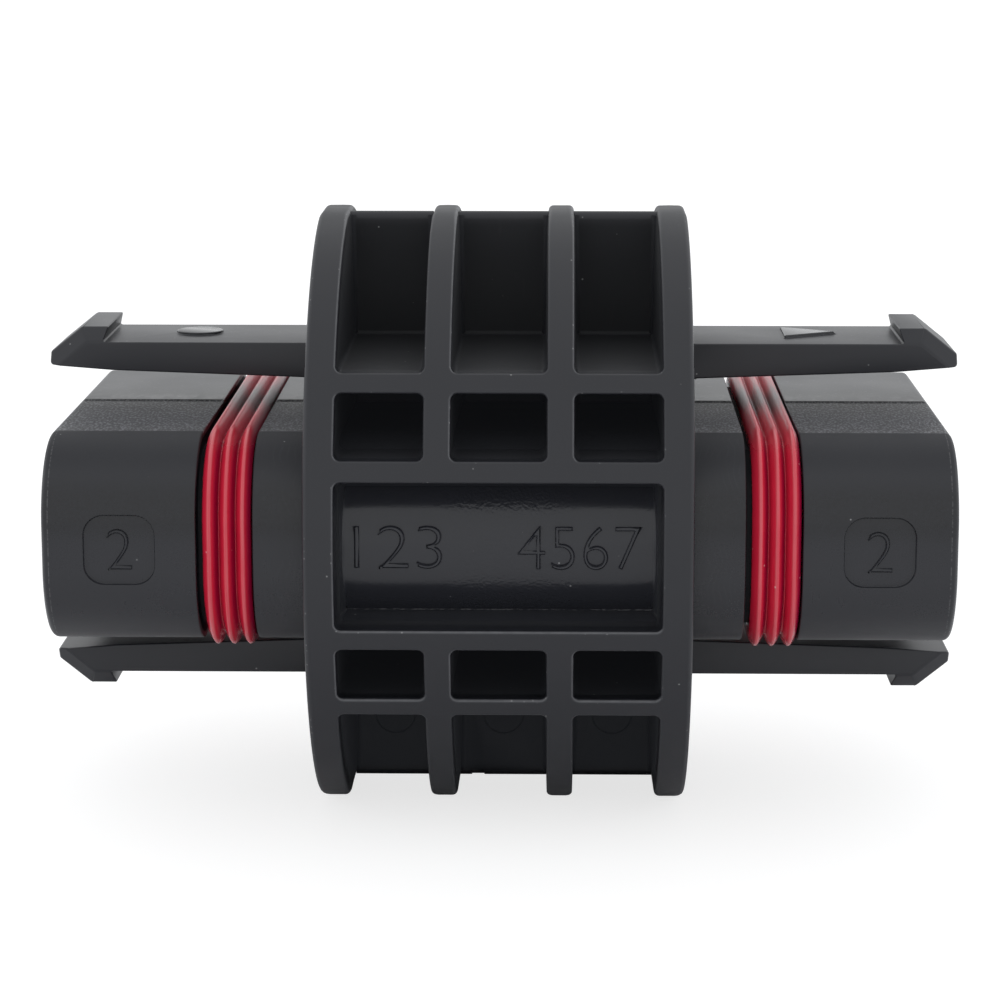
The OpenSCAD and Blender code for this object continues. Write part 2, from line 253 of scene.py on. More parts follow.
# %% Starting and feeding a finish
def new_finish(name):
    """An empty finish: the material, its main shader, the place on the piece in millimetres, and that
    place's X, Y and Z."""
    material = bpy.data.materials.new(name)
    material.use_nodes = True
    tree = material.node_tree
    shader = tree.nodes["Principled BSDF"]
    start = Value(tree).node("ShaderNodeTexCoord", output="Object")
    place = start.node("ShaderNodeVectorMath", {0: start, 3: 1 / MM}, operation="SCALE")
    axes = [place.node("ShaderNodeSeparateXYZ", {0: place}, output=axis) for axis in "XYZ"]
    return material, shader, place, axes


def feed(shader, **sockets):
    """Gives the main shader its values: a Value is linked, anything else is set."""
    for name, given in sockets.items():
        socket = shader.inputs[name.replace("_", " ").title().replace("Ior", "IOR")]
        if isinstance(given, Value):
            given.tree.links.new(given.socket, socket)
        else:
            socket.default_value = given


print("a finish reads its place in units of", MM, "m")

# %% [markdown]
# ## Sizes that several pieces share
# The grip, the plugs and the finishes need some of the same sizes, so these come first. They are measured
# from the middle of the part: X along the cable, Y from front to back, Z up.

# %% Shared sizes
GRIP_X = 17.85
GRIP_R = 29.45
OUTER_RIB = 2.85
INNER_RIB = 2.5
INNER_PITCH = 11.3
UPPER_SHELF = 16.3
LOWER_SHELF = 15.75
SHELF = 1.75
LABEL_X = GRIP_X - OUTER_RIB
LABEL_Z = 6.85
PLUG_X = 42.2
PLUG_TOP = 9.85
CORNER_Y = 18.15
END_ROUND = 0.6
ARM_TOP = 16.5
print(f"grip {2 * GRIP_X:.1f} mm long, plugs {2 * PLUG_X:.1f} mm over their ends")

# %% [markdown]
# ## The black plastic
# The moulding is filled nylon, dark grey rather than black, with a satin skin. Its regions differ, and
# that keeps it from looking like a flat colour. The bottom of the recess is polished, the front half of
# the plugs' flat faces has a spark-eroded grain, and a hair-thin line shows where the two halves of the
# mould met. Rims are paler, partly from wear and partly as a painted highlight, strongest where they face
# right. The pockets and the grooves' floors are painted darker as shade, and the plugs' fronts carry a
# band of painted shade. Dust gathers in corners, and a pale haze of painted highlight lies behind the
# parting line. Some light finds its way into the pockets from wall to wall; a faint veil of glow stands
# in for it. All of it follows the place on the piece, so nothing slides.

# %% Regions of the moulding
PARTING = 0.05
LABEL_BACK = (-23.5, -23.0)
LABEL_FACE = (26.6, 27.2)
POLISH_X = 14.1
POLISH_Z = 5.7
POCKET_FACE = (GRIP_R - 2.2, GRIP_R - 0.9)
CREST_Z = GRIP_R - 1.5
MARK_TOP = ARM_TOP + 0.2
MARK_END = 33.5


def regions(place, x, y, z):
    """Masks that are 1 in one region of the moulding and 0 elsewhere, from soft steps in X, Y and Z and in
    the distance out from the cable's axis. The edge number gives the rims, pale from wear and from painted
    highlight, and the floors of the grooves, which get painted shade."""
    mark = place.node("ShaderNodeAttribute", attribute_name="edge", output="Fac")
    across = place.node("ShaderNodeVectorMath", {0: place, 1: (0, 1, 1)}, operation="MULTIPLY")
    out = across.node("ShaderNodeVectorMath", {0: across}, output="Value", operation="LENGTH")
    on = SimpleNamespace(edge=mark.rise(0.0, 1.0), groove=(0 - mark).rise(0.2, 0.6))
    on.ends = abs(x).rise(GRIP_X - 0.1, GRIP_X)
    in_opening = (1 - abs(z).rise(LABEL_Z, LABEL_Z + 0.2)) * (1 - on.ends)
    on.label = in_opening * (1 - y.rise(*LABEL_BACK)) * (1 - out.rise(*LABEL_FACE))
    in_middle = (1 - abs(x).rise(POLISH_X, POLISH_X + 0.3)) * (1 - abs(z).rise(POLISH_Z, POLISH_Z + 0.2))
    on.polish = on.label * in_middle
    on.pocket = (1 - on.ends) * (1 - on.label) * (1 - out.rise(*POCKET_FACE))
    on.plug = on.ends * (1 - abs(z).rise(PLUG_TOP + 0.1, PLUG_TOP + 0.3))
    on.front = on.plug * (1 - y.rise(-CORNER_Y - 0.3, -CORNER_Y))
    on_flat = abs(z).within(PLUG_TOP - 0.3, PLUG_TOP + 0.1, 0.02)
    on.grain = on_flat * y.within(-CORNER_Y, -PARTING, 0.05) * on.ends
    on.crest = abs(z).rise(CREST_Z, CREST_Z + 0.3)
    on.mark = z.rise(MARK_TOP, MARK_TOP + 0.08) * on.ends * (1 - abs(x).rise(MARK_END, MARK_END + 0.5))
    return on


def skin_noises(place):
    """Noises of the skin: the slow flow of the plastic, a fine unevenness, a peel like an orange's, and
    the pits of the grain."""
    return SimpleNamespace(flow=place.noise(0.12, 3.0, (1, 1, 2)), fine=place.noise(7.0),
                           peel=place.noise(3.6), pits=place.noise(4.6, stretch=(1, 0.36, 1)))


print("plastic has a grain between Y", -CORNER_Y, "and the parting line")

# %% Veil, dust and a painted highlight
WALL_LAYER = 0.15
BAY_Z = (UPPER_SHELF - 0.8, UPPER_SHELF + 0.2)
UNDER_Z = (LOWER_SHELF - SHELF, LOWER_SHELF - SHELF + 1.0)
LABEL_DUST = -5.9
END_DUST = PLUG_X - END_ROUND - 0.1


def veil(on, x, z):
    """Strength of the glow that stands in for light from wall to wall: beside the ribs in the upper bays,
    in the pockets and more in the lower bays, and in the recess, though less on its polished bottom."""
    outer_wall = abs(abs(x) - (LABEL_X - WALL_LAYER))
    inner_wall = abs(abs(abs(x) - INNER_PITCH / 2) - (INNER_RIB / 2 + WALL_LAYER))
    by_rib = 2 - outer_wall.rise(0.2, 0.4) - inner_wall.rise(0.2, 0.4)
    in_bay = on.pocket * z.rise(*BAY_Z)
    in_pocket = (on.pocket - in_bay) * (0.36 + 0.32 * (0 - z).rise(*UNDER_Z))
    return 0.3 * by_rib * in_bay + in_pocket + 0.45 * on.label - 0.2 * on.polish


def specks(place, scale, size, share):
    """Dots of dust: one in each cell of a pattern of cells, and only cells whose random number is above a
    share keep theirs."""
    cells = {"Vector": place, "Scale": scale}
    near = place.node("ShaderNodeTexVoronoi", cells)
    chance = place.node("ShaderNodeTexVoronoi", cells, output="Color")
    drawn = chance.node("ShaderNodeSeparateColor", {0: chance})
    return (1 - near.rise(0.5 * size, 1.5 * size)) * drawn.rise(share, share + 0.05)


def dust_and_sheen(place, on, x, y, z):
    """Single specks, flecks on worn rims, a line along the bottom of the recess and around each plug's
    end, all dust; and a pale haze behind the parting line, which is a painted highlight."""
    fleck = specks(place, 2.5, 0.20, 0.86) * on.edge
    in_label = on.label * z.within(LABEL_DUST - 0.05, LABEL_DUST + 0.05, 0.05)
    at_end = on.front * abs(x).within(END_DUST, END_DUST + 0.06, 0.04)
    line = place.noise(3.0).rise(0.42, 0.58) * (in_label + 0.45 * at_end)
    cloud = place.noise(0.7, 3.0, (1, 0.4, 1)).rise(0.38, 0.70)
    behind_line = y.within(0.15, 0.9, 3.6) * y.rise(0.12, 0.2)
    # a pale haze behind the parting line: painted highlight
    painted_sheen = cloud * behind_line * on.plug * abs(z).rise(PLUG_TOP - 0.3, PLUG_TOP - 0.1)
    return 0.7 * (specks(place, 0.9, 0.07, 0.91) + fleck + 0.5 * line + 0.5 * painted_sheen)


print("dust lies along Z", LABEL_DUST, "in the recess and X", round(END_DUST, 2), "at the ends")

# %% Black plastic
CREST = 0.3
RIPPLE_END = 22.0
SHADE_Z = (2.6, 4.8)
PEEL_X = 1.0
BLACK = (0.0140, 0.0146, 0.0185, 1)
# painted shade: the pockets and the grooves' floors are darkened with this
SHADE_BLACK = (0.0094, 0.0101, 0.0126, 1)
# pale rims, partly wear and partly painted highlight
WORN_AND_HIGHLIGHT = (0.042, 0.043, 0.049, 1)
# painted highlight on rims that face right
RIM_HIGHLIGHT = (0.135, 0.136, 0.144, 1)
GRAINED = (0.135, 0.136, 0.150, 1)
# the parting line, and the band of painted shade on the plugs' fronts
SEAM_AND_SHADE = (0.005, 0.005, 0.006, 1)
# dust, and the painted highlight behind the parting line
SPECK_AND_SHEEN = (0.30, 0.30, 0.30, 1)
VEIL = (0.0090, 0.0096, 0.0112, 1)
NO_VEIL = (0, 0, 0, 1)


def plastic_colour(place, on, skin, x, y, z):
    """Black, with painted shade making it darker in the pockets. Over it lie, in turn, the pale tips of the
    grain, rims made pale by wear and by painted highlight together with pale ripples, a stronger painted
    highlight on rims that face right, a band of painted shade on the plugs' fronts, the parting line, and
    dust with a painted highlight behind the parting line. The line is ragged on the plugs, and wider on the
    grip's crest."""
    ragged = (skin.pits - 0.5) * 0.25 * on.plug
    seam = 1 - (abs(y + ragged) - CREST * on.crest).rise(PARTING, 3 * PARTING)
    bands = place.node("ShaderNodeTexWave", {"Vector": place, "Scale": 0.5, "Distortion": 16.0, "Detail": 1.0,
                                             "Detail Scale": 0.45})
    by_grip = on.front * (1 - abs(x).rise(RIPPLE_END, RIPPLE_END + 0.6))
    ripple = bands.rise(0.70, 1.0) * by_grip * place.noise(0.3).rise(0.42, 0.62)
    shade = on.front * z.within(*SHADE_Z, 2.4) * (0.55 + 0.9 * (skin.peel - 0.5))
    # painted highlight on rims that face right
    rim_wear_and_highlight = on.edge.rise(0.74, 0.96) * (0.15 + 0.6 * place.noise(1.1, 3.0))
    # painted shade: darker in the pockets
    colour = on.pocket.mix(BLACK, SHADE_BLACK)
    colour = (on.grain * skin.pits.rise(0.44, 0.66)).mix(colour, GRAINED)
    # rims paler from wear and from painted highlight
    colour = (on.edge * (0.3 + 0.6 * skin.flow) + 0.14 * ripple).mix(colour, WORN_AND_HIGHLIGHT)
    colour = rim_wear_and_highlight.mix(colour, RIM_HIGHLIGHT)
    # a band of painted shade on the plugs' fronts
    colour = shade.mix(colour, SEAM_AND_SHADE)
    colour = (seam * (0.6 - 0.4 * on.plug)).mix(colour, SEAM_AND_SHADE)
    return dust_and_sheen(place, on, x, y, z).mix(colour, SPECK_AND_SHEEN)


def plastic_roughness(place, on, skin, z):
    """Satin. It is rougher in the pockets, on the grain, towards the ribs' upper ends and around the
    plugs' long corners, and smoother where it is polished, scuffed or worn."""
    scuff = place.noise(1.4, 4.0, (1.8, 1, 0.25)).rise(0.60, 0.78)
    gloss = 0.23 * on.polish + 0.07 * on.plug * (1 - on.grain) + 0.08 * on.front + 0.22 * on.mark
    gloss = gloss + 0.04 * on.edge + 0.05 * scuff + 0.03 * (on.ends - on.plug)
    corner = on.front * (0.40 * z.rise(5.0, 8.5) + 0.20 * (0 - z).rise(6.0, 9.0))
    rough = 0.36 + 0.10 * skin.flow + 0.04 * skin.fine + 0.24 * on.pocket + 0.04 * on.grain
    return rough + 0.10 * z.rise(20.0, 27.0) + corner - gloss


def plastic_relief(on, skin, x):
    """Height of the skin: fine all over, peel in the middle of the recess and faintly on the plugs, and
    pits on the grain."""
    in_middle = 1 - abs(x - PEEL_X).rise(2.0, 8.0)
    peeled = on.polish * (0.15 + 0.75 * in_middle) + 0.12 * on.plug * (1 - on.grain)
    return 0.04 * skin.fine + skin.peel * peeled + 0.7 * on.grain * skin.pits


def plastic_finish():
    """The satin plastic, with a dark dull shader mixed in on the floors of the grooves as painted shade."""
    material, shader, place, (x, y, z) = new_finish("black_plastic")
    on, skin = regions(place, x, y, z), skin_noises(place)
    feed(shader, base_color=plastic_colour(place, on, skin, x, y, z),
         roughness=plastic_roughness(place, on, skin, z), normal=plastic_relief(on, skin, x).bump(0.06),
         specular_ior_level=0.45, emission_color=veil(on, x, z).mix(NO_VEIL, VEIL), emission_strength=1.0)
    material.cycles.emission_sampling = "NONE"
    tree = material.node_tree
    # painted shade: a dark dull shader on the grooves' floors
    groove_shade = place.node("ShaderNodeBsdfDiffuse", {"Color": SHADE_BLACK})
    shine = Value(tree, shader.outputs[0])
    both = place.node("ShaderNodeMixShader", {0: 0.8 * on.groove, 1: shine, 2: groove_shade})
    tree.links.new(both.socket, tree.nodes["Material Output"].inputs["Surface"])
    return material


plastic = plastic_finish()
print("black plastic has", len(plastic.node_tree.nodes), "nodes")

# %% [markdown]
# ## The grip
# The grip is a drum with pockets cored out of it from the front and from the back, so that only ribs,
# shelves and bars are left. What shows is the drum's face, and it could be made by cutting boxes out of a
# cylinder and bevelling the result. That leaves ragged corners where a rim crosses the round face, so here
# the rims come first: each is a ball's path, rolled along the edge between the face and the pocket's wall.
# The face is then stretched between the rims like a skin.

# %% The drum's outline
GRIP_DROP = 0.25
FLAT_Z = 28.9
FLAT_ANGLE = np.arcsin((FLAT_Z + np.array((-GRIP_DROP, GRIP_DROP))) / GRIP_R)
OUTLINE_END = GRIP_R * (FLAT_ANGLE + np.cos(FLAT_ANGLE))


def drum(x, u):
    """Point and direction on the drum's front half, at u millimetres up its outline from the front. The
    outline is an arc of the grip's radius as far as a flat, then straight along the flat to the parting
    plane. On the flat the direction goes on turning until it points straight up, so that no crease shows.
    The arc's centre lies a little below the plugs' middle, so the lower flat starts sooner than the upper
    one."""
    x, u = np.broadcast_arrays(np.asarray(x, float), np.asarray(u, float))
    limit = FLAT_ANGLE[(u > 0).astype(int)]
    angle = np.clip(u / GRIP_R, -limit, limit)
    past = np.maximum(np.abs(u) - GRIP_R * limit, 0)
    turn = angle + np.sign(u) * (math.pi / 2 - limit) * past / (GRIP_R * np.cos(limit))
    point = np.stack([x, past - GRIP_R * np.cos(angle), GRIP_R * np.sin(angle) - GRIP_DROP], -1)
    return point, np.stack([0 * x, -np.cos(turn), np.sin(turn)], -1)


def along(z):
    """Place along the outline of a height on the arc."""
    return GRIP_R * np.arcsin((np.asarray(z) + GRIP_DROP) / GRIP_R)


print(f"outline runs {OUTLINE_END.sum():.1f} mm from the lower to the upper parting line")

# %% Edges of the pockets
BAR_Z = 8.8
POCKET_CORNER = 0.6
STEP = 1.2
CORNER_STEPS = 7

middle = INNER_PITCH / 2 - INNER_RIB / 2
inner = INNER_PITCH / 2 + INNER_RIB / 2
BAYS = [(-LABEL_X, -inner), (-middle, middle), (inner, LABEL_X)]


def side(start, end):
    """Evenly spaced points between two ends, which are left out."""
    steps = max(2, round(math.dist(start, end) / STEP))
    return np.linspace(start, end, steps + 1)[1:-1]


def corner(x, z, first):
    """Quarter arc of the pocket's corner radius about a centre, from a first angle in degrees."""
    angle = np.radians(first + np.linspace(0, 90, CORNER_STEPS))
    return np.stack([x + POCKET_CORNER * np.cos(angle), z + POCKET_CORNER * np.sin(angle)], -1)


def inward(path, x0, x1, z0, z1):
    """Directions into a pocket from the points of its edge: straight across from a side, and to the centre
    from a corner."""
    x, z = path.T
    r = POCKET_CORNER
    away = np.stack([np.clip(x, x0 + r, x1 - r) - x, np.clip(z, z0 + r, z1 - r) - z], -1)
    return away / np.linalg.norm(away, axis=-1, keepdims=True)


def closed_edge(x0, x1, z0, z1):
    """Edge of a closed pocket, a rectangle with round corners: X, place along the outline, and
    direction."""
    r = POCKET_CORNER
    a, b, c, d = x0 + r, x1 - r, z0 + r, z1 - r
    path = np.concatenate([
        side((a, z0), (b, z0)), corner(b, c, -90), side((x1, c), (x1, d)), corner(b, d, 0),
        side((b, z1), (a, z1)), corner(a, d, 90), side((x0, d), (x0, c)), corner(a, c, 180)])
    return path[:, 0], along(path[:, 1]), inward(path, x0, x1, z0, z1)


def open_edge(x0, x1, z0, up):
    """Edge of a bay that is open above (up 1) or below (up -1): down one rib from the parting line, along
    a shelf and back up the other rib."""
    r = POCKET_CORNER
    a, b, c = x0 + r, x1 - r, z0 + r
    foot = np.concatenate([corner(a, c, 180), side((a, z0), (b, z0)), corner(b, c, 270)])
    end, start = OUTLINE_END[int(up > 0)], abs(along(up * c))
    rib = np.linspace(end, start, round((end - start) / STEP) + 1)[:-1]
    x = np.concatenate([np.full(len(rib), x0), foot[:, 0], np.full(len(rib), x1)])
    u = np.concatenate([up * rib, along(up * foot[:, 1]), up * rib[::-1]])
    across = np.concatenate([np.tile((1.0, 0.0), (len(rib), 1)), inward(foot, x0, x1, z0, 2 * FLAT_Z),
                             np.tile((-1.0, 0.0), (len(rib), 1))])
    return x, u, across * (1, up)


label_edge = closed_edge(-LABEL_X, LABEL_X, -LABEL_Z, LABEL_Z)
pocket_edges = [closed_edge(*bay, BAR_Z, UPPER_SHELF - SHELF) for bay in BAYS]
pocket_edges += [closed_edge(*bay, SHELF - LOWER_SHELF, -BAR_Z) for bay in BAYS]
upper_bays = [open_edge(*bay, UPPER_SHELF, 1) for bay in BAYS]
lower_bays = [open_edge(*bay, LOWER_SHELF, -1) for bay in BAYS]
print(1 + len(pocket_edges), "closed pockets and", len(upper_bays + lower_bays), "open bays in each face")

# %% Rims and walls
RIM = 0.28
CREST_RIM = 0.5
RIB_FOOT = 0.8
RIM_GROWS = (-39.5, -35.0, 37.0, 42.0)
RIM_STEPS = 5
DRAFT = 0.012
LABEL_DRAFT = math.tan(math.radians(10))
WEB = 0.9
FOOT = 0.5
FOOT_SHARE = 0.8
FOOT_STEPS = 5
SUNK = 0.02
LABEL_FLOOR = -22.0
LABEL_FOOT = 0.01


def rolled(edge, face, wall, radius):
    """A ball rolled along an edge inside the corner of a face and a wall, touching both. Its centre lies
    back from the edge by radius * (face + wall) / (1 + face . wall), and the rim is the part of the ball
    between the two directions, in rows from the face to the wall."""
    lean = (face * wall).sum(-1, keepdims=True)
    centre = edge - radius * (face + wall) / (1 + lean)
    turn = np.arccos(lean)
    t = np.linspace(0, 1, RIM_STEPS + 1)[:, None, None]
    normal = (np.sin((1 - t) * turn) * face + np.sin(t * turn) * wall) / np.sin(turn)
    return centre + radius * normal, normal


def rim_radius(u, plain, lower_end, upper_end):
    """Radius of a rim at a place along the outline: it grows where the lower and the upper flat begin."""
    return np.interp(u, RIM_GROWS, (lower_end, plain, plain, upper_end))[:, None]


def rim_wear_and_highlight(u, across):
    """How pale a rim is made, from 0.5 to 1: wear everywhere, and a painted highlight that is most where it
    faces right, or up in the lower half, and not at all in the lower bays."""
    turned = np.maximum(across[:, 0], np.where(u < 0, across[:, 1], 0))
    return 0.5 + 0.5 * np.clip(turned, 0, 1) * (u > along(-LOWER_SHELF) + SHELF / 2)


def roundness(rows):
    """How far round the rim a row lies: 0 on the face and on the wall, 1 halfway."""
    return np.sin(np.linspace(0, math.pi, RIM_STEPS + 1))[:, None] * np.ones(rows)


def pocket(shell, x, u, across, floor, draft=DRAFT, foot=FOOT, closed=True):
    """Adds a pocket's rim and wall and returns the rim's outer row. The wall runs straight back, leaning
    in by the draft, and sweeps into the floor with a round foot. Where the face already lies near the
    floor, the wall only drops out of sight."""
    edge, face = drum(x, u)
    wall = np.stack([across[:, 0], 0 * u, across[:, 1]], -1)
    rows, normals = rolled(edge, face, wall, rim_radius(u, RIM, RIB_FOOT, CREST_RIM))
    top = rows[-1]
    depth = np.maximum(floor - top[:, 1], 0)[:, None]
    radius = np.minimum(foot, FOOT_SHARE * depth)
    turn = np.linspace(0, math.pi / 2, FOOT_STEPS)[:, None, None]
    back = np.array((0.0, 1.0, 0.0))
    low = top + (depth - radius) * (back + draft * wall)
    feet = low + radius * ((1 - np.cos(turn)) * wall + np.sin(turn) * back)
    feet[..., 2] -= np.where(depth[:, 0] < RIM, RIM * np.sign(top[:, 2]), 0)
    leaning = np.cos(turn) * wall - np.sin(turn) * back
    # rims pale from wear, with a painted highlight where they face right
    wear_and_highlight = np.concatenate([roundness(len(u)) * rim_wear_and_highlight(u, across), np.zeros((FOOT_STEPS, len(u)))])
    shell.grid(np.concatenate([rows, feet]), np.concatenate([normals, leaning]), wear_and_highlight, closed)
    outer_row = rows[0]
    on_arc = np.abs(u) < GRIP_R * FLAT_ANGLE[(u > 0).astype(int)]
    place = np.where(on_arc, GRIP_R * np.arctan2(outer_row[:, 2] + GRIP_DROP, -outer_row[:, 1]), u)
    return np.stack([outer_row[:, 0], place], -1)


grip = Shell()
loops = [pocket(grip, *label_edge, LABEL_FLOOR, LABEL_DRAFT, LABEL_FOOT)]
loops += [pocket(grip, *edge, SUNK - WEB) for edge in pocket_edges]
above = [pocket(grip, *edge, SUNK - WEB, closed=False) for edge in upper_bays]
below = [pocket(grip, *edge, SUNK - WEB, closed=False) for edge in lower_bays]
print("rims and walls:", grip.count, "points")

# %% [markdown]
# The face between the rims is one sheet with holes. It is drawn flat, as X across and the outline's length
# up, and filled there with triangles that keep to the rims. Extra points strewn between the rims let the
# sheet follow the drum's curve, and then every point is lifted back on to the drum.

# %% The drum's face and sides
OUTER_ROUND = 0.5
OUTER_FOOT = 0.95
OUTER_WEAR_AND_HIGHLIGHT = 0.6
MESH_SPACE = 1.3
CLEAR_OF_RIM = 0.55


def crossings(points, loops):
    """True where a point lies inside an odd number of loops: a ray to the right then crosses their sides
    an odd number of times."""
    inside = np.zeros(len(points), bool)
    for loop in loops:
        a, b = loop, np.roll(loop, -1, 0)
        px, py = points[:, :1], points[:, 1:]
        spans = (a[:, 1] > py) != (b[:, 1] > py)
        rise = np.where(b[:, 1] == a[:, 1], 1, b[:, 1] - a[:, 1])
        cut = a[:, 0] + (py - a[:, 1]) * (b[:, 0] - a[:, 0]) / rise
        inside ^= (spans & (px < cut)).sum(1) % 2 == 1
    return inside


def filled(loops, space, clear):
    """Triangles that fill the region between loops. Points strewn at a spacing help, but keep clear of the
    loops."""
    low, high = loops[0].min(0), loops[0].max(0)
    lines = [np.arange(low[axis], high[axis], space) for axis in (0, 1)]
    strewn = np.stack(np.meshgrid(*lines), -1).reshape(-1, 2)
    strewn = strewn[crossings(strewn, loops)]
    rims = np.concatenate(loops)
    gap = np.linalg.norm(strewn[:, None] - rims[None], axis=-1).min(1)
    points = np.concatenate([rims, strewn[gap > clear]])
    numbers = np.split(np.arange(len(rims)), np.cumsum([len(loop) for loop in loops])[:-1])
    sides = np.concatenate([np.stack([loop, np.roll(loop, -1)], -1) for loop in numbers])
    found = delaunay_2d_cdt([Vector(p) for p in points.tolist()], sides.tolist(), [], 0, 1e-7)
    points, triangles = np.array([tuple(p) for p in found[0]]), np.array(found[2])
    return points, triangles[crossings(points[triangles].mean(1), loops)]


heights = np.linspace(-OUTLINE_END[0], OUTLINE_END[1], round(OUTLINE_END.sum() / STEP) + 1)
outer_round = rim_radius(heights, OUTER_ROUND, OUTER_FOOT, OUTER_ROUND)
right_side = np.stack([GRIP_X - outer_round[:, 0], heights], -1)
left_side = right_side * (-1, 1)
lower_rims = [bay[::-1] for bay in below[::-1]]
border = np.concatenate([left_side[-1:], *above, right_side[::-1], *lower_rims, left_side[:-1]])
flat, triangles = filled([border, *loops], MESH_SPACE, CLEAR_OF_RIM)
grip.add(*drum(*flat.T), triangles)
for end in (-1, 1):
    edge, face = drum(end * GRIP_X, heights)
    rows, normals = rolled(edge, face, np.array((end, 0.0, 0.0)) + 0 * face, outer_round)
    # the drum's outer rounding is pale from wear and from painted highlight
    grip.grid(rows, normals, OUTER_WEAR_AND_HIGHLIGHT * roundness(len(heights)))
    disc = np.concatenate([[(end * GRIP_X, 0.0, 0.0)], rows[-1]])
    number = np.arange(1, len(heights))
    grip.add(disc, np.tile((end, 0.0, 0.0), (len(disc), 1)), np.stack([0 * number, number, number + 1], -1))
print("drum's face:", len(triangles), "triangles")

# %% Front and back make the whole grip
whole = Shell()
for turn in (1, -1):
    flip = np.array((1, turn, 1))
    for points, normals, edge, faces in zip(grip.points, grip.normals, grip.edge, grip.faces):
        whole.add(points * flip, normals * flip, faces - faces.min(), edge)
show("ribbed_grip", whole.mesh("ribbed_grip"), plastic)

# %% [markdown]
# ## The plugs
# Both plugs are one bar that runs through the grip. Its section is a rectangle with large round corners,
# and everything else on it is a matter of how deep the surface lies below that section: the round end
# edges, the seal grooves, the sunk square on the front, and the grained panels that stop at the parting
# line. So the bar is a grid of two parameters, one around the section and one along the bar, and a depth
# at each. Around the section the points lie closest where the sunk square's edge crosses the front
# corners.

# %% Around the section
PLUG_Y = 25.95
PLUG_CORNER = 7.8
CORNER_Z = PLUG_TOP - PLUG_CORNER
FINE_TURN = 15.0


def around():
    """Anchors and angles once around the section. A point of it is anchor + (corner radius - depth) *
    direction: the anchors go round a small rectangle, and the direction turns only while the anchor waits
    at a corner."""
    turn = np.concatenate([np.linspace(0, FINE_TURN, 50, endpoint=False), np.linspace(FINE_TURN, 90, 18)])
    back_turn = np.linspace(90, 0, 22)
    flat = np.linspace(0, CORNER_Z, 12, endpoint=False)
    top = np.array([0.1 - CORNER_Y, -12, -6, -1, -0.35, 0.0, 0.3, 1, 6, 12, CORNER_Y - 0.1])
    front = np.full(len(flat) + len(turn), -CORNER_Y)
    back = np.full(len(back_turn) + len(flat), CORNER_Y)
    y = np.concatenate([front, top, back])
    z = np.concatenate([flat, np.full(len(turn) + len(top) + len(back_turn), CORNER_Z), flat[::-1]])
    angle = np.radians(np.concatenate([0 * flat + 180, 180 - turn, 0 * top + 90, back_turn, 0 * flat]))
    return [np.concatenate([upper, sign * upper[-2:0:-1]]) for upper, sign in ((y, 1), (z, -1), (angle, -1))]


anchor_y, anchor_z, angles = around()
print("section has", len(angles), "points")

# %% Along the bar
SHELL = 2.4
HOLLOW_X = 28.8
GROOVE = (22.7, 27.9)
GROOVE_DEPTH = 1.6
SOFT = 0.15
PAD_X = 35.0
PAD = 6.55
PAD_CORNER = 1.9
PAD_DEPTH = 0.35
PAD_STEP = 0.11
PANEL_DEPTH = 0.12
NEAR = 0.01


def quarter(x, depth, radius, first, steps=5):
    """Quarter arc in the bar's profile, from a first angle in degrees; a larger depth lies further in."""
    angle = np.radians(first + np.linspace(0, 90, steps))
    return np.stack([x + radius * np.sin(angle), depth - radius * np.cos(angle)], -1)


def stretch(start, end, steps):
    """Points along a straight line, both ends included."""
    return np.linspace(start, end, steps)


def bar_profile():
    """X and depth along the right half of the bar: through the grip, down into the seal's groove and out
    again, past the sunk square, round the end's edge, over the rim and back along the inside of the
    shell."""
    a, b = GROOVE
    pad_start, pad_end = PAD_X - PAD / 2, PAD_X + PAD / 2
    return np.concatenate([
        stretch((0, 0), (LABEL_X + 0.3, 0), 4), stretch((LABEL_X + 0.6, 0), (a - 2 * SOFT, 0), 6),
        quarter(a - SOFT, SOFT, SOFT, 0), stretch((a, 2 * SOFT), (a, GROOVE_DEPTH), 3),
        stretch((a + SOFT, GROOVE_DEPTH), (b - SOFT, GROOVE_DEPTH), 4),
        stretch((b, GROOVE_DEPTH), (b, 2 * SOFT), 3), quarter(b + SOFT, SOFT, SOFT, 270),
        stretch((b + 2 * SOFT, 0), (pad_start - 0.3, 0), 5),
        stretch((pad_start - 0.2, 0), (pad_end + 0.2, 0), 110),
        stretch((pad_end + 0.4, 0), (PLUG_X - END_ROUND - 0.1, 0), 5),
        quarter(PLUG_X - END_ROUND, END_ROUND, END_ROUND, 0, 9),
        stretch((PLUG_X, 0.8), (PLUG_X, SHELL - 2 * SOFT), 3), quarter(PLUG_X - SOFT, SHELL - SOFT, SOFT, 90),
        stretch((PLUG_X - 2 * SOFT, SHELL), (HOLLOW_X, SHELL), 6)])


right = bar_profile()
bar_x = np.concatenate([-right[::-1, 0], right[1:, 0]])[:, None]
depth = np.concatenate([right[::-1, 1], right[1:, 1]])[:, None]
skin = depth < END_ROUND
print("bar has", len(bar_x), "rings")

# %% The depth at every place of the bar
LABEL_FLOOR_R = 9.4
BEHIND_X = LABEL_X + 0.5
BEHIND_Z = LABEL_Z + 0.6


def rounded_square(x, z, size, corner):
    """Distance outside a square with round corners, negative inside: how far a place lies beyond the
    corners' centres, less the corners' radius."""
    across, up = np.abs(x) - size / 2 + corner, np.abs(z) - size / 2 + corner
    return np.hypot(np.maximum(across, 0), np.maximum(up, 0)) + np.minimum(np.maximum(across, up), 0) - corner


def soft_step(value, width):
    """1 below 0 and 0 above it, with a smooth step of a width between: t * t * (3 - 2 * t), where t falls
    evenly from 1 to 0 across the width."""
    t = np.clip(0.5 - value / width, 0, 1)
    return t * t * (3 - 2 * t)


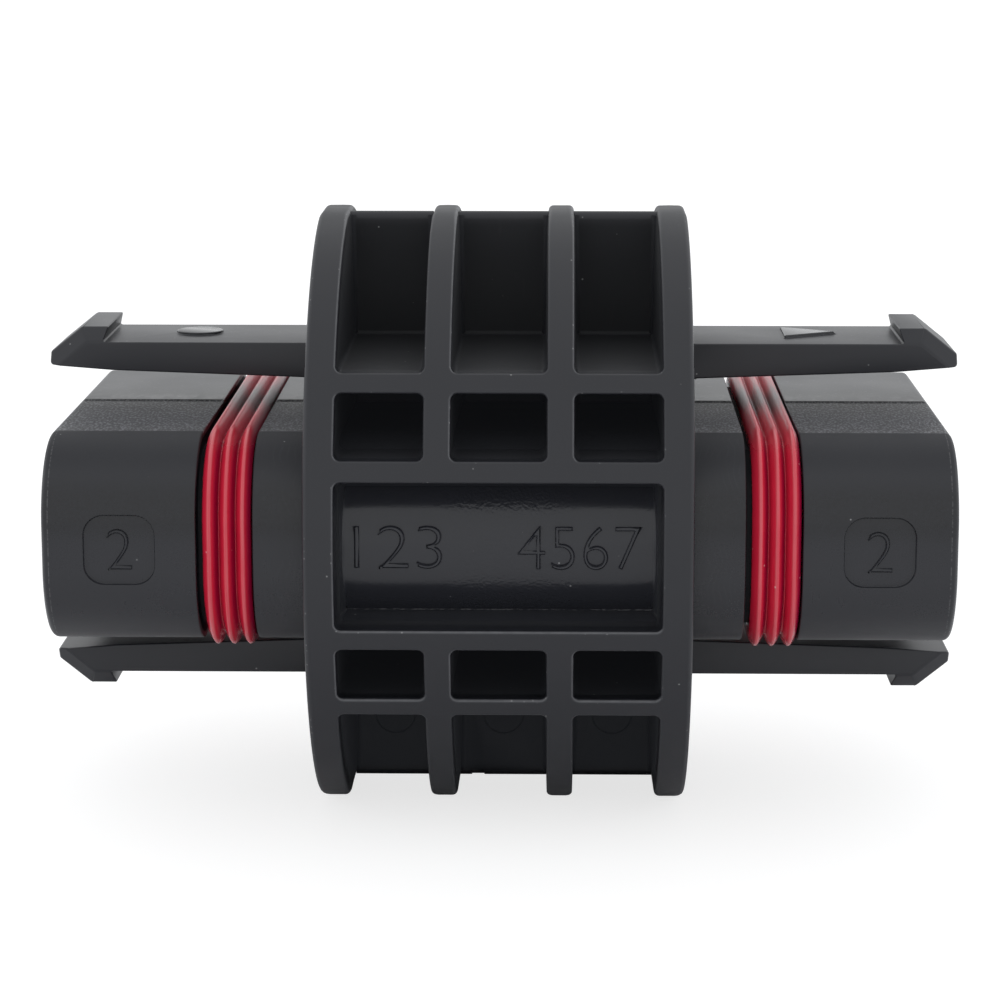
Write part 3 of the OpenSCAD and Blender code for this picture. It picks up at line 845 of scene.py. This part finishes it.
section_z = anchor_z + PLUG_CORNER * np.sin(angles)
front_half = (anchor_y < -NEAR) & (np.cos(angles) < -0.5)
from_pad = rounded_square(np.abs(bar_x) - PAD_X, section_z, PAD, PAD_CORNER)
pad = soft_step(from_pad, PAD_STEP) * front_half * skin
panel = (np.abs(np.abs(angles) - math.pi / 2) < 1e-6) & (anchor_y < -NEAR)
sunk = PANEL_DEPTH * (1 + anchor_y / CORNER_Y)
depth = np.where(panel & skin & (np.abs(bar_x) > GRIP_X), np.maximum(depth, sunk), depth) + PAD_DEPTH * pad
# The bottom of the recess is an arc. Its reach is how far out from an anchor that arc's circle is met.
inwards_y, inwards_z = np.abs(anchor_y) - PLUG_Y + LABEL_FLOOR_R, np.abs(anchor_z)
lean = inwards_y * np.abs(np.cos(angles)) + inwards_z * np.abs(np.sin(angles))
floor_reach = np.sqrt(lean ** 2 - inwards_y ** 2 - inwards_z ** 2 + LABEL_FLOOR_R ** 2) - lean
behind_label = (np.abs(bar_x) < BEHIND_X) & (np.abs(section_z) < BEHIND_Z)
depth = np.where(behind_label, np.maximum(PLUG_CORNER - floor_reach, 0), depth)
print(f"deepest place {depth.max():.2f} mm below the section")

# %% The bar's surface
END_WEAR_AND_HIGHLIGHT = 0.7
PALE_FROM = 0.05


def section_at(x, reach):
    """Points around the section at X: anchor + reach * direction."""
    y, z = anchor_y + reach * np.cos(angles), anchor_z + reach * np.sin(angles)
    return np.stack([x + 0 * y, y, z], -1)


def heading(points, axis, closed):
    """Direction of travel at each point of a grid along one axis: the mean of the steps before and after
    it."""
    step = np.roll(points, -1, axis) - points
    after = step / np.maximum(np.linalg.norm(step, axis=-1, keepdims=True), 1e-9)
    before = np.roll(after, 1, axis)
    if not closed:
        after[-1], before[0] = after[-2], after[0]
    return after + before


def facing(points, closed):
    """Direction of a grid that is closed around: square to its headings along both axes."""
    across = np.cross(heading(points, 0, closed), heading(points, 1, True))
    return across / np.linalg.norm(across, axis=-1, keepdims=True)


bar = section_at(bar_x, PLUG_CORNER - depth)
# the plugs' end edges are pale from wear and from painted highlight
end_wear_and_highlight = END_WEAR_AND_HIGHLIGHT * (skin & (depth > PALE_FROM) & (np.abs(bar_x) > PLUG_X - END_ROUND))
in_groove = np.abs(np.abs(bar_x) - sum(GROOVE) / 2) < (GROOVE[1] - GROOVE[0]) / 2 + NEAR
plugs = Shell()
# groove floors are marked -1 for painted shade
plugs.grid(bar, facing(bar, False), np.where(in_groove & (depth > 2 * SOFT), -1.0, end_wear_and_highlight), closed=True)
show("plug_bar", plugs.mesh("plug_bar"), plastic)

# %% [markdown]
# ## Latch arms, webs and hollow ends
# Springy arms above and below each plug end in hooks that catch the mating half. Thin webs close the
# pockets in the middle plane, and the plugs' ends are hollow. All of these have plain faces and few edges.
# They could be worked out as grids too, but the solid model already holds them, so their triangles are
# picked out of a copy of it by where they lie, and a Bevel modifier rounds their edges. The arms' roots
# are sunk into the grip a little, so that no gap shows, and their tips are drawn in by a hair, which keeps
# rounding errors inside the solid model's box.

# %% Pieces taken from a copy of the solid model
CAD_WELD = 0.002
FLUSH = math.radians(0.5)
SHARP = math.radians(35)


def mesh_points(mesh):
    """A mesh's points, as points by axes."""
    points = np.empty(3 * len(mesh.vertices), np.float32)
    mesh.vertices.foreach_get("co", points)
    return points.reshape(-1, 3)


def cad_corners(node):
    """Corners of a node's triangles in millimetres, as triangles by corners by axes."""
    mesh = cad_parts[node].data
    index = np.empty(3 * len(mesh.polygons), np.int32)
    mesh.polygons.foreach_get("vertices", index)
    return mesh_points(mesh)[index].reshape(-1, 3, 3).astype(float) / MM


def rounded(piece, radius, limit, segments=3):
    """A Bevel modifier that rounds a piece's edges: the sharp ones, or those that carry a weight."""
    bevel = piece.modifiers.new("rounded_edges", "BEVEL")
    bevel.width = radius * MM
    bevel.segments = segments
    bevel.limit_method = limit
    bevel.angle_limit = SHARP
    bevel.use_clamp_overlap = False
    bevel.harden_normals = True
    bevel.loop_slide = False


def picked(name, corners, edge_round):
    """One piece from picked triangles: points joined, flat faces made whole, and edges rounded by a
    modifier."""
    flat = corners.reshape(-1, 3)
    _, first, place = np.unique(np.round(flat / CAD_WELD), axis=0, return_index=True, return_inverse=True)
    mesh = bpy.data.meshes.new(name)
    mesh.from_pydata((flat[first] * MM).tolist(), [], place.reshape(-1, 3).tolist())
    form = bmesh.new()
    form.from_mesh(mesh)
    bmesh.ops.dissolve_degenerate(form, dist=1e-7, edges=form.edges)
    bmesh.ops.dissolve_limit(form, angle_limit=FLUSH, verts=form.verts, edges=form.edges)
    form.to_mesh(mesh)
    form.free()
    mesh.polygons.foreach_set("use_smooth", np.ones(len(mesh.polygons), bool))
    piece = show(name, mesh, plastic)
    rounded(piece, edge_round, "ANGLE")
    return piece


def edges_of(piece):
    """Both ends of each edge, in millimetres from the middle planes, and how many degrees the surface
    bends there."""
    form = bmesh.new()
    form.from_mesh(piece.data)
    ends = np.array([[tuple(point.co) for point in edge.verts] for edge in form.edges])
    bend = np.degrees([edge.calc_face_angle(0.0) for edge in form.edges])
    form.free()
    return np.abs(ends) / MM, bend


def round_first(piece, chosen, radius, segments):
    """A Bevel modifier for chosen edges alone, found by their weight. It works before the one for the
    rest."""
    weight = piece.data.attributes.new("bevel_weight_edge", "FLOAT", "EDGE")
    weight.data.foreach_set("value", chosen.astype(np.float32))
    rounded(piece, radius, "WEIGHT", segments)
    piece.modifiers.move(1, 0)


corners = cad_corners("housing")
print("housing has", len(corners), "triangles")

# %% Latch arms
ON_PLANE = 1e-3
ARM_FOOT = 11.0
ARM_ROUND = 0.15
ROOT_SINK = 0.4
TIP_SPARE = 0.003
HOOK_X = 38.9
HOOK_BEND = 25
HOOK_ROUND = 0.22
HOOK_STEPS = 5

x, y, z = (corners[..., axis] for axis in range(3))
beyond_grip = (np.abs(x) > GRIP_X - ON_PLANE).all(1)
side_face = (np.abs(np.abs(x) - GRIP_X) < ON_PLANE).all(1)
arms = corners[beyond_grip & ~side_face & (np.abs(z) > ARM_FOOT).all(1)]
at_root = np.abs(arms[..., 0]) < GRIP_X + ON_PLANE
arms[..., 0] -= np.where(at_root, ROOT_SINK * np.sign(arms[..., 0]), 0)
arms[..., 0] -= TIP_SPARE * np.sign(arms[..., 0])
latch_arms = picked("latch_arms", arms, ARM_ROUND)
ends, bend = edges_of(latch_arms)
round_first(latch_arms, (ends[..., 0] > HOOK_X).all(1) & (bend > HOOK_BEND), HOOK_ROUND, HOOK_STEPS)

# %% Webs and hollow ends
WEB_TOP = 28.7
WEB_EDGE = 0.1
WEB_ROUND = 0.75
WEB_STEPS = 6
BULKHEAD = 2.4
POLE_PITCH = 16.4
POLE_R = 4.6
SKIN_SPARE = 0.004
HOLLOW_ROUND = 0.12


def below_skin(y, z):
    """Depth of a place below the plug's section: the corners' radius, less how far the place lies beyond the
    corners' centres."""
    out_y, out_z = np.abs(y) - CORNER_Y, np.abs(z) - CORNER_Z
    outside = np.hypot(np.maximum(out_y, 0), np.maximum(out_z, 0)) + np.minimum(np.maximum(out_y, out_z), 0)
    return PLUG_CORNER - outside


in_web = (np.abs(y) < WEB + NEAR) & (np.abs(x) < LABEL_X + NEAR) & (np.abs(z) > PLUG_TOP - 0.1)
webs = picked("webs", corners[in_web.all(1)], WEB_EDGE)
ends, _ = edges_of(webs)
crest = (np.abs(ends[..., 2] - WEB_TOP) < NEAR) & (np.abs(ends[..., 1] - WEB) < NEAR)
round_first(webs, crest.all(1), WEB_ROUND, WEB_STEPS)
buried = below_skin(y, z)
pole = np.round(np.clip(y / POLE_PITCH, -1, 1)) * POLE_PITCH
in_bore = (np.abs(x) < GROOVE[0]) & (np.hypot(y - pole, z) < POLE_R)
in_shell = (buried > SHELL - SKIN_SPARE) & (np.abs(x) > BULKHEAD / 2 - NEAR)
inside = in_shell.all(1) & (buried > SHELL + SKIN_SPARE).any(1) & ~in_bore.all(1)
picked("hollow_ends", corners[inside], HOLLOW_ROUND)

# %% [markdown]
# ## Raised numbers
# Mouldings carry their marks as thin raised strokes, cut into the mould with a small cutter. They could be
# a bump in the finish, but real strokes catch the light along their sides. Plain numbers are used: a
# number is set as text, made into a mesh, and its points are then laid on the plug's front face.

# %% Raised numbers
NUMBER_HEIGHT = 4.1
NUMBER_Z = 0.4
STROKE_HEIGHT = 0.012
STROKE_SLOPE = 0.022
STROKE_THIN = -0.036
LEFT_NUMBER = (-13.3, -5.2)
RIGHT_NUMBER = (1.76, 13.06)
PAD_NUMBER = (1.15, 1.95)


def raised_number(name, digits, left, right, low, high, surface):
    """A number on a face that looks to the front: its text is stretched from left to right and from low to
    high, and its strokes stand out by the scale of its height."""
    text = bpy.data.curves.new(name, "FONT")
    text.body = digits
    text.extrude = STROKE_HEIGHT
    text.bevel_depth = STROKE_SLOPE
    text.bevel_resolution = 0
    text.offset = STROKE_THIN
    written = bpy.data.objects.new(name, text)
    scene.collection.objects.link(written)
    mesh = bpy.data.meshes.new_from_object(written.evaluated_get(bpy.context.evaluated_depsgraph_get()))
    bpy.data.objects.remove(written)
    across, up, out = mesh_points(mesh).T
    size = (high - low) / np.ptp(up)
    across = np.interp(across, (across.min(), across.max()), (left, right))
    laid = np.stack([across, surface - size * out, low + size * (up - up.min())], -1) * MM
    mesh.vertices.foreach_set("co", laid.astype(np.float32).ravel())
    mesh.update()
    show(name, mesh, plastic)


level = (NUMBER_Z - NUMBER_HEIGHT / 2, NUMBER_Z + NUMBER_HEIGHT / 2)
raised_number("number_left", "123", *LEFT_NUMBER, *level, -PLUG_Y)
raised_number("number_right", "4567", *RIGHT_NUMBER, *level, -PLUG_Y)
half, rise = PAD_NUMBER
for place, centre in (("left", -PAD_X), ("right", PAD_X)):
    raised_number(f"number_pad_{place}", "2", centre - half, centre + half, -rise, rise, PAD_DEPTH - PLUG_Y)

# %% [markdown]
# ## Red seals and metal contacts
# The seals are moulded silicone, a glossy red with a few flecks of dust. Pale streaks along the lips'
# crests are a painted highlight, paler streaks on top are a painted reflection, and crimson on the flanks
# that face right is painted shade. A seal could be a curve with a bevel object. Here its section is
# carried around by the same anchors and angles as the bar, so it follows its groove exactly. The contacts
# are turned from brass and tinned, so they show fine rings around their length.

# %% Seals and contacts
RED = (0.60, 0.018, 0.046, 1)
DEEP_RED = (0.53, 0.010, 0.034, 1)
# painted shade on the lips' flanks that face right
SHADED_CRIMSON = (0.27, 0.002, 0.028, 1)
# chalk dust, and painted highlight on the crests and painted reflection on top
CHALK_AND_SHEEN = (0.62, 0.42, 0.40, 1)
TIN = (0.74, 0.70, 0.62, 1)
BRASS = (0.66, 0.47, 0.20, 1)


def silicone_finish():
    """Red in clouds, turning crimson as painted shade on one flank of each lip by the place across it. Chalk
    colour lies on the crests as a painted highlight, in streaks on top of the seal as a painted
    reflection, and in flecks of dust."""
    material, shader, place, (_, _, z) = new_finish("red_silicone")
    lip = place.node("ShaderNodeAttribute", attribute_name="edge", output="Fac")
    cloud = place.noise(0.5, 3.0)
    skin = place.noise(5.0, 3.0)
    streak = place.noise(3.0, 2.0, (2.0, 0.04, 0.04))
    flecks = specks(place, 0.9, 0.08, 0.75)
    # painted highlight along the lips' crests
    crest = (1 - abs(lip + 0.04).rise(0.10, 0.38)) * (0.4 + 0.6 * streak.rise(0.30, 0.60))
    # painted shade: crimson on the flank that faces right
    colour = lip.rise(0.25, 0.75).mix(cloud.mix(DEEP_RED, RED), SHADED_CRIMSON)
    # painted highlight on the crests, painted reflection in streaks on top, and flecks of dust
    colour = (0.13 * crest + 0.10 * streak * z.rise(8.5, 10.0) + 0.6 * flecks).mix(colour, CHALK_AND_SHEEN)
    rough = 0.15 + 0.06 * cloud + 0.3 * flecks + 0.12 * z.rise(7.0, 10.0)
    feed(shader, base_color=colour, roughness=rough, normal=skin.bump(0.003))
    return material


def contact_finish():
    """Tin with brass showing through in clouds, and fine rings from the lathe: a noise that changes along
    X."""
    material, shader, place, _ = new_finish("tinned_brass")
    rings = place.noise(6.0, 2.0, (1.0, 0.01, 0.01))
    cloud = place.noise(0.6, 3.0)
    colour = (cloud.rise(0.45, 0.75) * 0.5).mix(TIN, BRASS)
    rough = 0.22 + 0.12 * cloud + 0.08 * rings
    feed(shader, base_color=colour, metallic=1.0, roughness=rough, normal=rings.bump(0.004))
    return material


silicone, tinned = silicone_finish(), contact_finish()
for name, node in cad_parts.items():
    if name.startswith("contact"):
        node.material_slots[0].material = tinned
print("contacts are tinned")

# %% A seal's section, carried around the plug
SEAL_X = sum(GROOVE) / 2
SEAL_SHIFT = 0.25
SEAL_GAP = 0.03
LIP_PITCH = 1.55
LIP = 1.48
LIP_RISE = 1.25
LIP_FLANK = 2.6
LIP_PROUD = 0.7
CREST_ROUND = 0.24
BASE_INSET = 0.1


def lip_profile(centre, foot):
    """Across and out of one lip: up a flank, over a small round crest and down the other flank. Each flank
    is an arc of a large radius from the foot towards the point where both would meet; its centre lies
    behind the middle of that line. The crest's arc touches both flanks."""
    half = LIP / 2
    chord = math.hypot(half, LIP_RISE)
    back = math.sqrt(LIP_FLANK ** 2 - chord ** 2 / 4)
    side, low = half / 2 - back * LIP_RISE / chord, LIP_RISE / 2 - back * half / chord
    crest = low + math.sqrt((LIP_FLANK - CREST_ROUND) ** 2 - side ** 2)
    turn = math.atan2(crest - low, -side)
    a = np.linspace(math.atan2(-low, half - side), turn, 7)
    b = np.linspace(turn, math.pi - turn, 7)[1:-1]
    right = np.stack([side + LIP_FLANK * np.cos(a), low + LIP_FLANK * np.sin(a)], -1)
    top = np.stack([CREST_ROUND * np.cos(b), crest + CREST_ROUND * np.sin(b)], -1)
    return np.concatenate([right * (-1, 1), top[::-1], right[::-1]]) + (centre, foot)


foot = GROOVE_DEPTH + LIP_PROUD - LIP_RISE
half = LIP_PITCH + LIP / 2
base = np.concatenate([
    stretch((half, foot - BASE_INSET), (half, SEAL_GAP), 4),
    stretch((half - 2 * BASE_INSET, SEAL_GAP), (2 * BASE_INSET - half, SEAL_GAP), 5),
    stretch((-half, SEAL_GAP), (-half, foot - BASE_INSET), 4)])
lips = [lip_profile(centre, foot) for centre in (-LIP_PITCH, 0, LIP_PITCH)]
section = np.concatenate([*lips, base])
nearest = LIP_PITCH * np.clip(np.round(section[:, 0] / LIP_PITCH), -1, 1)
across_lip = (section[:, 0] - nearest) / (LIP / 2)
reach = PLUG_CORNER - GROOVE_DEPTH + section[:, 1:]
loop = np.append(np.arange(len(section)), 0)
for name, end in (("seal_left", -1), ("seal_right", 1)):
    ring = section_at(end * SEAL_X + SEAL_SHIFT + section[:, :1], reach)
    seal = Shell()
    seal.grid(ring[loop], facing(ring, True)[loop], across_lip[loop, None] + 0 * angles, closed=True)
    show(name + "_rubber", seal.mesh(name + "_rubber"), silicone, name)

# %% [markdown]
# ## Floor and light
# A black satin part shows mostly what it reflects, so the light comes from a white tent: an even white all
# round. The floor sweeps up behind the part and leaves no horizon. It is a lit table, which washes the
# shadow out. Such a table would also light the part from below, so only the camera sees it, and a pale
# card that the camera doesn't see lies there for the part.

# %% Floor
FLOOR_Z = -FLAT_Z
SWEEP = (-800.0, 500.0, 300.0, 900.0)
WIDE = 1500.0
CARD_DROP = 0.1
GLOW = 0.74
PAPER = (0.36, 0.36, 0.36, 1)
CARD = (0.93, 0.93, 0.94, 1)


def paper_finish(name, colour, glow):
    """Rough paper with faint fibres and a white glow of its own."""
    material, shader, place, _ = new_finish(name)
    rough = 0.75 + 0.1 * place.noise(0.8, 3.0)
    feed(shader, base_color=colour, roughness=rough, emission_color=(1, 1, 1, 1), emission_strength=glow)
    material.cycles.emission_sampling = "NONE"
    return material


def paper(name, y, z, finish):
    """A sheet of paper that follows a line in Y and Z and is wide along X."""
    rows = np.stack([np.stack([0 * y + end, y, z], -1) for end in (-WIDE, WIDE)], 1)
    lean = heading(rows, 0, False)
    up = np.stack([0 * lean[..., 0], -lean[..., 2], lean[..., 1]], -1)
    form = Shell()
    form.grid(rows, up / np.linalg.norm(up, axis=-1, keepdims=True))
    sheet = bpy.data.objects.new(name, form.mesh(name))
    sheet.data.materials.append(finish)
    scene.collection.objects.link(sheet)
    return sheet


front, bend, radius, height = SWEEP
angle = np.linspace(0, math.pi / 2, 25)
sweep_y = np.concatenate([[front], bend + radius * np.sin(angle), [bend + radius]])
sweep_z = FLOOR_Z + np.concatenate([[0], radius - radius * np.cos(angle), [height]])
floor = paper("floor", sweep_y, sweep_z, paper_finish("lit_paper", PAPER, GLOW))
floor.visible_diffuse = floor.visible_glossy = False
card_z = np.full(2, FLOOR_Z - CARD_DROP)
card = paper("card", np.array((front, bend)), card_z, paper_finish("pale_card", CARD, 0.0))
card.visible_camera = False
print("floor at", FLOOR_Z, "mm")

# %% Light
TENT = 1.03
TENT_COLOUR = (0.97, 0.985, 1.0, 1)

scene.view_settings.view_transform = "Standard"
world = bpy.data.worlds.new("tent")
world.use_nodes = True
world.node_tree.nodes["Background"].inputs["Color"].default_value = TENT_COLOUR
world.node_tree.nodes["Background"].inputs["Strength"].default_value = TENT
scene.world = world
print("tent", TENT)
